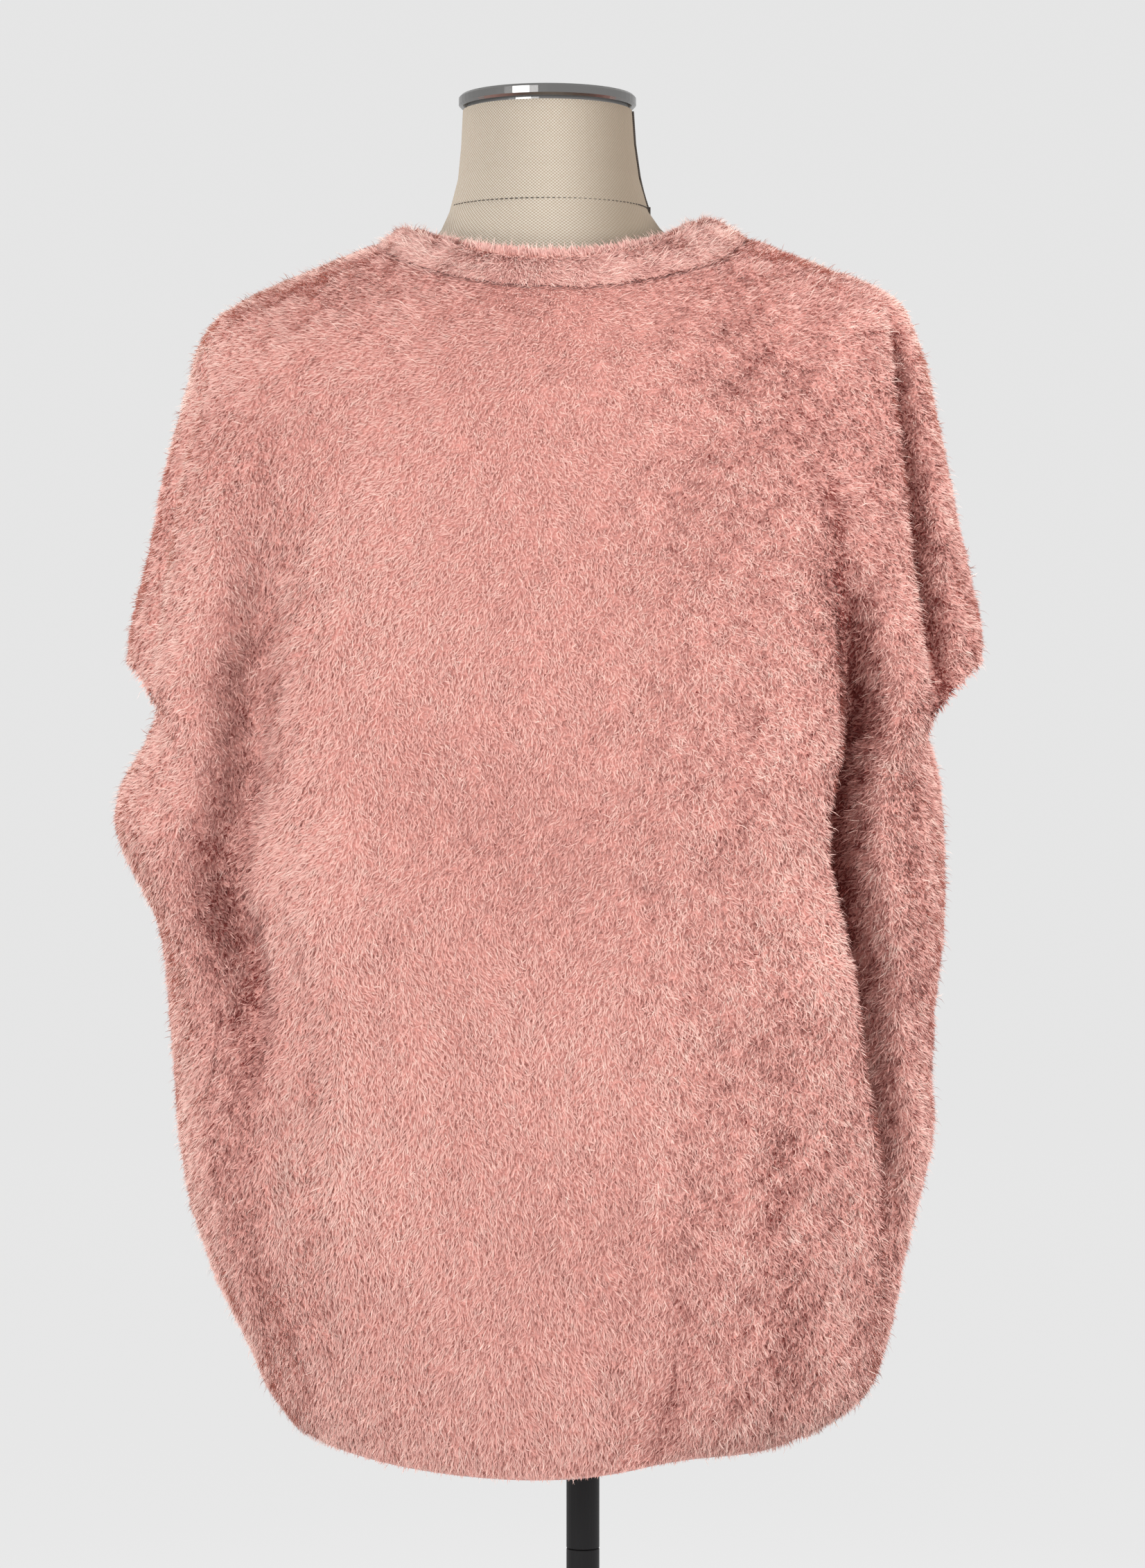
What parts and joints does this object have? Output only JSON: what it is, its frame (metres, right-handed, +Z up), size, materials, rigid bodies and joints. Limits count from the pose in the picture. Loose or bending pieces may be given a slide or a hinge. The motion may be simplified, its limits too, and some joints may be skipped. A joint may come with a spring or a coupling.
{
  "type": "pullover sweater on a limbless dress form with a pole stand",
  "caption": "Fluffy short-sleeved batwing pullover with a round neckband and cocoon body, worn by a limbless linen dress form on a black pole and round base.",
  "frame": {"origin": "centre of the round base's underside, on the floor and on the pole's axis", "axes": "+Z up along the pole, +Y to the wearer's front, +X to the wearer's right"},
  "size_m": [0.5359, 0.3372, 1.5967],
  "materials": {
    "wool_back": "long-haired pink pile on a soft knit",
    "wool_front": "long-haired pink pile on a soft knit",
    "wool_neckband": "long-haired pink pile on a soft knit",
    "linen": "coarse natural linen canvas",
    "chrome": "polished chrome",
    "black_pole_upper": "black satin paint",
    "black_pole_lower": "black satin paint",
    "black_base": "black satin paint"
  },
  "bodies": {
    "root": {"back_panel": "wool_back", "front_panel": "wool_front", "neckband": "wool_neckband", "dress_form": "linen", "neck_cap": "chrome", "pole_upper": "black_pole_upper", "pole_lower": "black_pole_lower", "stand_base": "black_base"}
  },
  "joints": []
}
